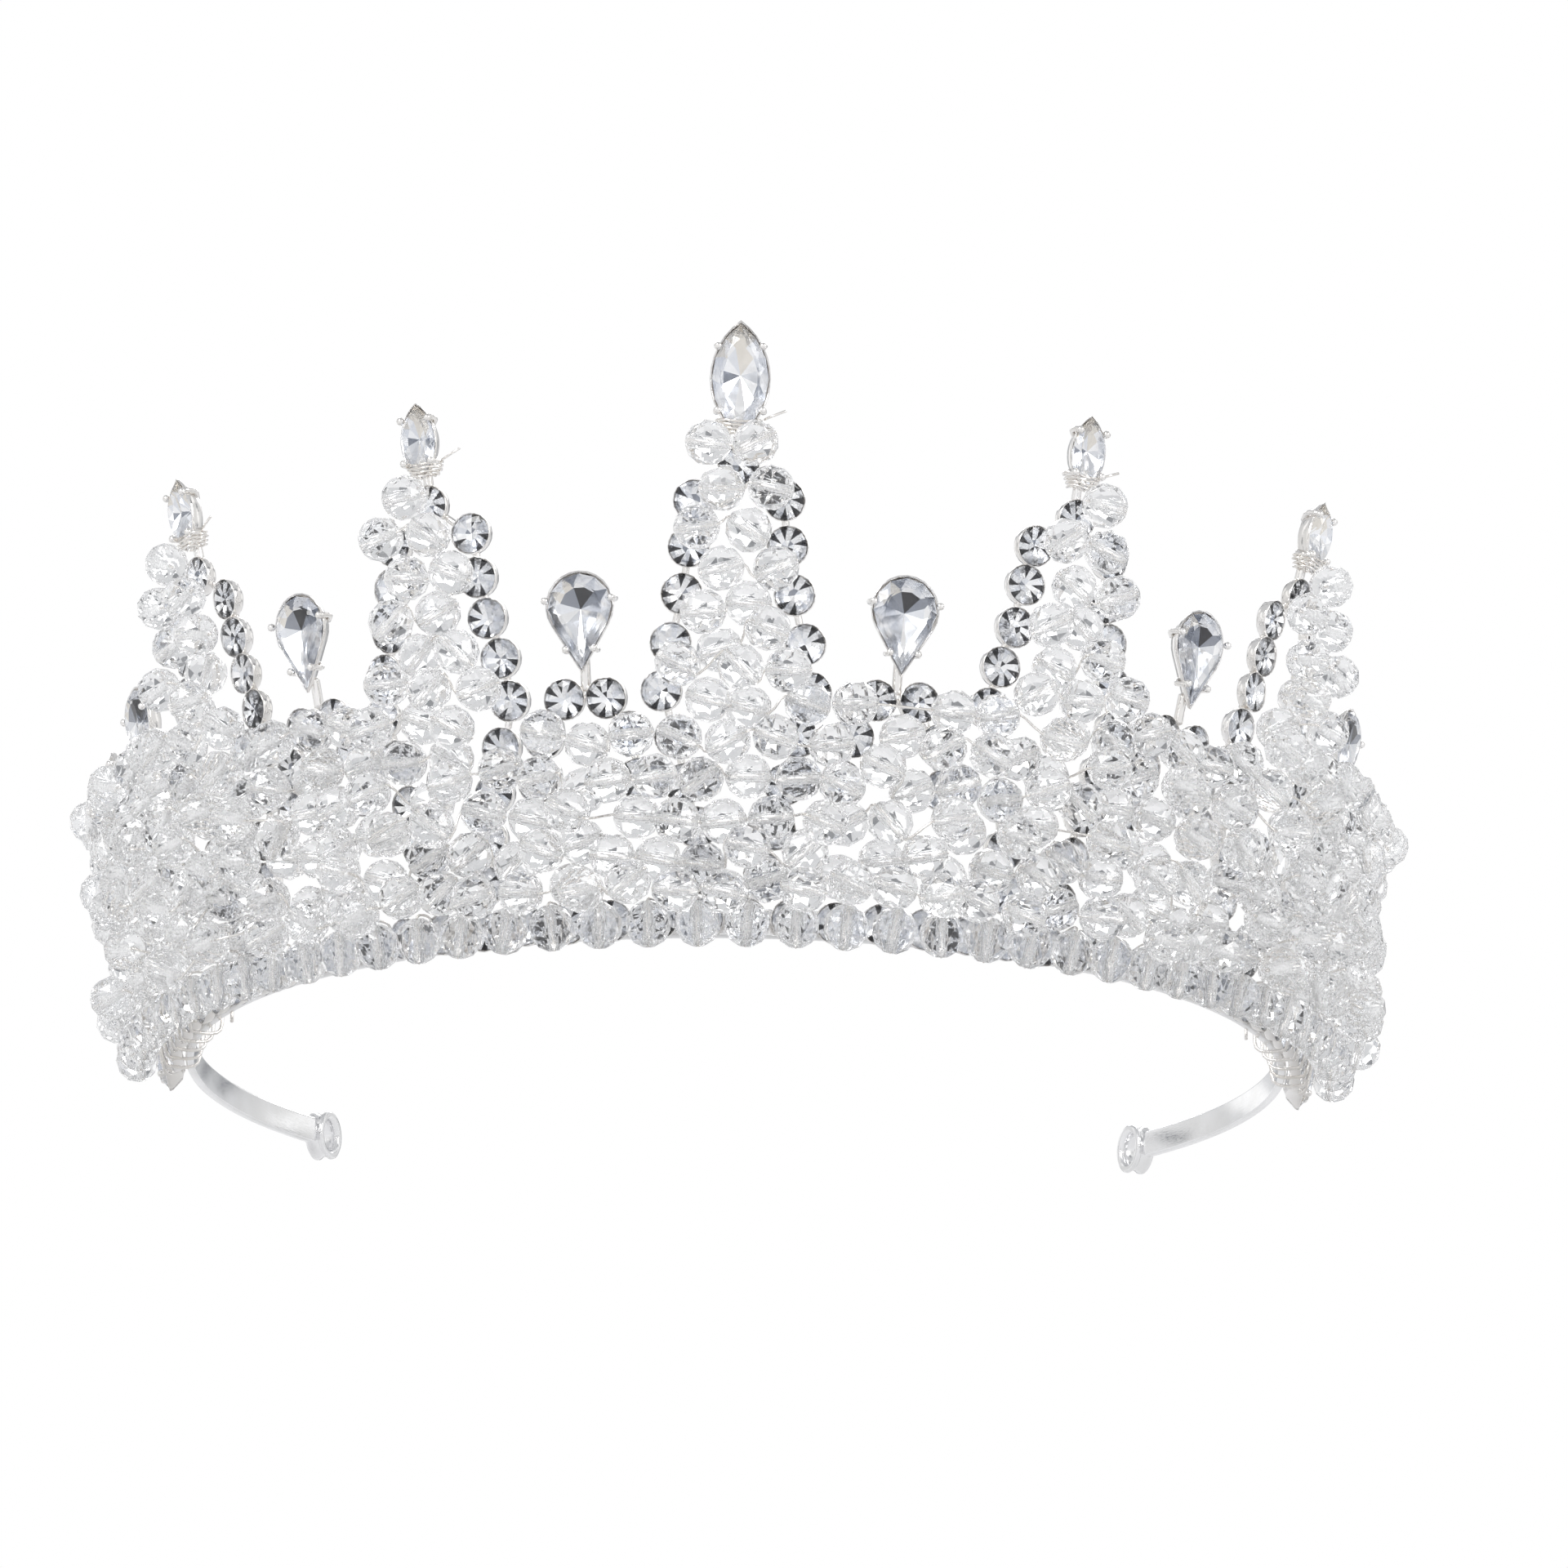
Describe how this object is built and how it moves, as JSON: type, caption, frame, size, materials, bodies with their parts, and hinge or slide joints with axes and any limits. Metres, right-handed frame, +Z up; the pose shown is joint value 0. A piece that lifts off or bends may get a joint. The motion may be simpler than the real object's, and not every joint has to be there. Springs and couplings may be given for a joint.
{
  "type": "bridal tiara",
  "caption": "Sprung bridal tiara with eyelet ends, cup-chain spires and crests tipped by claw-set stones, and a front threaded with faceted glass beads.",
  "frame": {"origin": "centre of the bounding box's bottom face, which is the plane that the tiara stands on", "axes": "+Z up the spires; -Y out of the front; +X to the right as seen by someone facing the front, which is the wearer's left. Left and right in node names are as seen from the front."},
  "size_m": [0.1566, 0.1322, 0.0668],
  "materials": {
    "band_metal": "polished silver plate",
    "eyelet_metal": "polished silver plate",
    "setting_metal": "bright silver plate with soldered joints",
    "binding_metal": "bright fine wire",
    "bead_glass": "clear, fire-polished facets",
    "stone_glass": "clear, cut facets over a foil back"
  },
  "bodies": {
    "root": {"base_cup_chain_1": "setting_metal", "base_cup_chain_2": "setting_metal", "base_cup_chain_3": "setting_metal", "base_cup_chain_4": "setting_metal", "base_cup_chain_5": "setting_metal", "bead_strand_center": "bead_glass", "bead_strand_left_1": "bead_glass", "bead_strand_left_2": "bead_glass", "bead_strand_left_3": "bead_glass", "bead_strand_left_4": "bead_glass", "bead_strand_left_5": "bead_glass", "bead_strand_left_6": "bead_glass", "bead_strand_right_1": "bead_glass", "bead_strand_right_2": "bead_glass", "bead_strand_right_3": "bead_glass", "bead_strand_right_4": "bead_glass", "bead_strand_right_5": "bead_glass", "bead_strand_right_6": "bead_glass", "binding_wire_left": "binding_metal", "binding_wire_right": "binding_metal", "crest_frame_left_1": "setting_metal", "crest_frame_left_3": "setting_metal", "crest_frame_left_5": "setting_metal", "crest_frame_left_6": "setting_metal", "crest_frame_right_1": "setting_metal", "crest_frame_right_3": "setting_metal", "crest_frame_right_5": "setting_metal", "crest_frame_right_6": "setting_metal", "end_setting_left": "setting_metal", "end_setting_right": "setting_metal", "end_stone_left": "stone_glass", "end_stone_right": "stone_glass", "eyelet_left": "eyelet_metal", "eyelet_right": "eyelet_metal", "headband": "band_metal", "hem_beads_1": "bead_glass", "hem_beads_2": "bead_glass", "hem_beads_3": "bead_glass", "hem_beads_4": "bead_glass", "hem_beads_5": "bead_glass", "marquise_stone_center": "stone_glass", "marquise_stone_left_2": "stone_glass", "marquise_stone_left_4": "stone_glass", "marquise_stone_left_6": "stone_glass", "marquise_stone_right_2": "stone_glass", "marquise_stone_right_4": "stone_glass", "marquise_stone_right_6": "stone_glass", "pear_stone_left_1": "stone_glass", "pear_stone_left_3": "stone_glass", "pear_stone_left_5": "stone_glass", "pear_stone_right_1": "stone_glass", "pear_stone_right_3": "stone_glass", "pear_stone_right_5": "stone_glass", "spire_frame_center": "setting_metal", "spire_frame_left_2": "setting_metal", "spire_frame_left_4": "setting_metal", "spire_frame_right_2": "setting_metal", "spire_frame_right_4": "setting_metal"}
  },
  "joints": []
}
